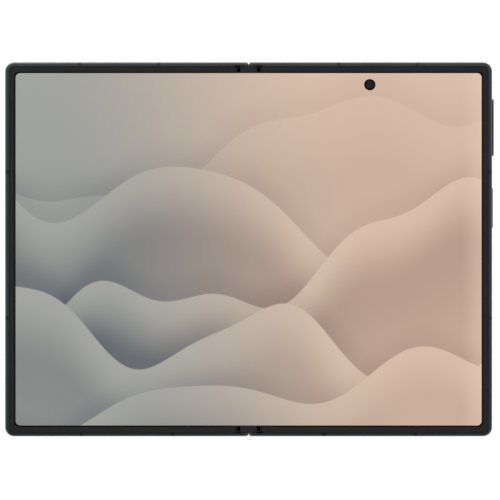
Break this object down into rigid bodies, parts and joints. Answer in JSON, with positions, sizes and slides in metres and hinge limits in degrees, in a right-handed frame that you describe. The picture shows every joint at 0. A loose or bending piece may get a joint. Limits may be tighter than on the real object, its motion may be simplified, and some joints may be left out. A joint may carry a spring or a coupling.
{
  "type": "foldable smartphone",
  "caption": "Book-style folding phone, open: two metal-rimmed halves on a geared spine share a lit folding screen; cameras, keys, port and card tray on the outside.",
  "frame": {"origin": "on the fold line at the middle of its length, in the plane on which the open phone rests", "axes": "+X from the left half to the right half, +Y along the fold to the top edge, +Z out of the screen"},
  "size_m": [0.1623, 0.124, 0.0063],
  "materials": {
    "rim_metal": "dark grey anodised, satin",
    "band_plastic": "moulded antenna inlay, satin",
    "bezel_plastic": "near black, matte",
    "cap_plastic": "near black, satin",
    "screen": "lit folding screen, semi gloss",
    "spine_metal": "dark grey anodised, satin",
    "steel": "machined",
    "spring_steel": "rolled sheet",
    "gear_steel": "sintered and polished",
    "flex_circuit": "amber polyimide",
    "cover_glass": "black, polished",
    "back_glass": "dark grey, frosted",
    "island_metal": "dark grey anodised, satin",
    "ring_metal": "dark grey, polished",
    "lens_glass": "coated, polished",
    "flash_lens": "translucent",
    "camera_black": "black, satin",
    "display_black": "unlit display",
    "battery_foil": "laminated pouch, satin",
    "circuit_board": "solder mask",
    "shield_tin": "tinned sheet",
    "black_plastic": "moulded",
    "magnet": "nickel plated",
    "copper": "wound copper foil"
  },
  "bodies": {
    "right_half": {"right_frame": "rim_metal", "right_antenna_bands": "band_plastic", "right_bezel": "bezel_plastic", "right_display_panel": "screen", "right_drive_gears": "gear_steel", "back_glass": "back_glass", "camera_island": "island_metal", "lens_rings": "ring_metal", "lens_glasses": "lens_glass", "rear_cameras": "camera_black", "flash": "flash_lens", "inner_camera": "camera_black", "inner_camera_lens": "lens_glass", "right_battery": "battery_foil", "charging_coil": "copper", "main_board": "circuit_board", "right_shields": "shield_tin", "right_connector": "black_plastic", "right_board_screws": "steel", "usb_board": "circuit_board", "usb_port": "steel", "bottom_speaker": "black_plastic", "vibration_motor": "shield_tin", "right_magnets": "magnet", "switch_board": "flex_circuit"},
    "spine": {"spine_cover": "spine_metal", "hinge_end_blocks": "spine_metal", "hinge_pins": "steel", "hinge_end_caps": "cap_plastic", "fold_centre_plate": "spring_steel", "friction_discs": "gear_steel", "spine_screws": "steel", "display_fold_strip": "screen", "hinge_flex": "flex_circuit"},
    "left_half": {"left_frame": "rim_metal", "left_antenna_bands": "band_plastic", "left_bezel": "bezel_plastic", "left_display_panel": "screen", "left_drive_gears": "gear_steel", "cover_glass": "cover_glass", "cover_display": "display_black", "cover_camera": "camera_black", "left_battery": "battery_foil", "left_board": "circuit_board", "left_shields": "shield_tin", "left_connector": "black_plastic", "left_board_screws": "steel", "top_speaker": "black_plastic", "left_magnets": "magnet", "tray_socket": "steel"},
    "right_wing": {"right_wing_plate": "spring_steel"},
    "left_wing": {"left_wing_plate": "spring_steel"},
    "top_left_idler": {"idler_top_left": "gear_steel"},
    "top_right_idler": {"idler_top_right": "gear_steel"},
    "bottom_left_idler": {"idler_bottom_left": "gear_steel"},
    "bottom_right_idler": {"idler_bottom_right": "gear_steel"},
    "rocker": {"volume_rocker": "rim_metal"},
    "key": {"side_key": "rim_metal"},
    "tray": {"sim_tray": "rim_metal"}
  },
  "joints": [
    {"name": "right_fold", "type": "hinge", "parent": "right_half", "child": "spine", "pos_m": [0.0015, 0, 0.0049], "axis": [0, 1, 0], "range_deg": [0, 90], "deforming": ["display_fold_strip", "hinge_flex"]},
    {"name": "left_fold", "type": "hinge", "parent": "spine", "child": "left_half", "pos_m": [-0.0015, 0, 0.0049], "axis": [0, 1, 0], "range_deg": [0, 90], "deforming": ["display_fold_strip", "hinge_flex"]},
    {"name": "right_wing_tilt", "type": "hinge", "parent": "right_half", "child": "right_wing", "pos_m": [0.00788, 0, 0.00528], "axis": [0, -1, 0], "range_deg": [0, 32]},
    {"name": "left_wing_tilt", "type": "hinge", "parent": "left_half", "child": "left_wing", "pos_m": [-0.00788, 0, 0.00528], "axis": [0, 1, 0], "range_deg": [0, 32]},
    {"name": "top_left_idler_turn", "type": "hinge", "parent": "spine", "child": "top_left_idler", "pos_m": [-0.0007, 0.0596, 0.00363], "axis": [0, -1, 0], "range_deg": [0, 105]},
    {"name": "top_right_idler_turn", "type": "hinge", "parent": "spine", "child": "top_right_idler", "pos_m": [0.0007, 0.0596, 0.00363], "axis": [0, 1, 0], "range_deg": [0, 105]},
    {"name": "bottom_left_idler_turn", "type": "hinge", "parent": "spine", "child": "bottom_left_idler", "pos_m": [-0.0007, -0.0596, 0.00363], "axis": [0, -1, 0], "range_deg": [0, 105]},
    {"name": "bottom_right_idler_turn", "type": "hinge", "parent": "spine", "child": "bottom_right_idler", "pos_m": [0.0007, -0.0596, 0.00363], "axis": [0, 1, 0], "range_deg": [0, 105]},
    {"name": "volume_rock", "type": "hinge", "parent": "right_half", "child": "rocker", "pos_m": [0.0802, 0.0405, 0.0039], "axis": [0, 0, 1], "range_deg": [-1.4, 1.4], "stiffness_Nm_per_rad": 0.2},
    {"name": "side_key_press", "type": "slide", "parent": "right_half", "child": "key", "axis": [-1, 0, 0], "range_m": [0, 0.00018], "stiffness_N_per_m": 8000},
    {"name": "tray_slide", "type": "slide", "parent": "left_half", "child": "tray", "axis": [0, -1, 0], "range_m": [0, 0.023]}
  ],
  "couplings": [
    {"joint": "left_fold", "follows": "right_fold", "ratio": 1},
    {"joint": "right_wing_tilt", "follows": "right_fold", "ratio": 0.34},
    {"joint": "left_wing_tilt", "follows": "right_fold", "ratio": 0.34},
    {"joint": "top_left_idler_turn", "follows": "right_fold", "ratio": 1.1429},
    {"joint": "top_right_idler_turn", "follows": "right_fold", "ratio": 1.1429},
    {"joint": "bottom_left_idler_turn", "follows": "right_fold", "ratio": 1.1429},
    {"joint": "bottom_right_idler_turn", "follows": "right_fold", "ratio": 1.1429}
  ]
}
